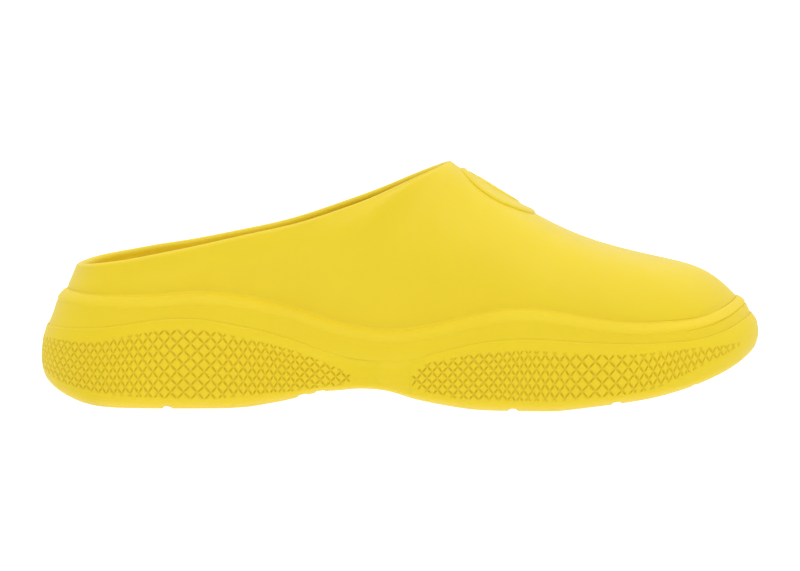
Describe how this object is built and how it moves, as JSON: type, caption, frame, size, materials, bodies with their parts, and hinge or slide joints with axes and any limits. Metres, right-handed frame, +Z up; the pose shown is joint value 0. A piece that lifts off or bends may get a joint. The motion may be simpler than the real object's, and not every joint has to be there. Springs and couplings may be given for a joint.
{
  "type": "garden clog",
  "caption": "Slip-on rubber garden clog, right foot: open heel collar, wavy wrap-up outsoles with diamond sidewalls, lift-out footbed.",
  "frame": {"origin": "on the ground, in the middle of the flat under the heel, 55 mm in front of the rearmost point", "axes": "+X to the toe, +Y to the inner side of the right foot, +Z up"},
  "size_m": [0.29, 0.114, 0.0969],
  "materials": {
    "upper_rubber": "matte moulded foam rubber, fine grain",
    "midsole_rubber": "matte moulded foam rubber",
    "outsole_rubber": "matte rubber with moulded diamond texture",
    "footbed_foam": "closed-cell foam",
    "knit_cover": "fine knitted polyester",
    "badge_rubber": "satin moulded rubber"
  },
  "bodies": {
    "shell": {"upper": "upper_rubber", "midsole": "midsole_rubber", "heel_outsole": "outsole_rubber", "forefoot_outsole": "outsole_rubber", "vamp_badge": "badge_rubber"},
    "insole": {"footbed": "footbed_foam", "footbed_cover": "knit_cover"}
  },
  "joints": [
    {"name": "footbed_lift", "type": "hinge", "parent": "shell", "child": "insole", "pos_m": [0.2205, 0, 0.0275], "axis": [0, 1, 0], "range_deg": [0, 5.5]}
  ]
}
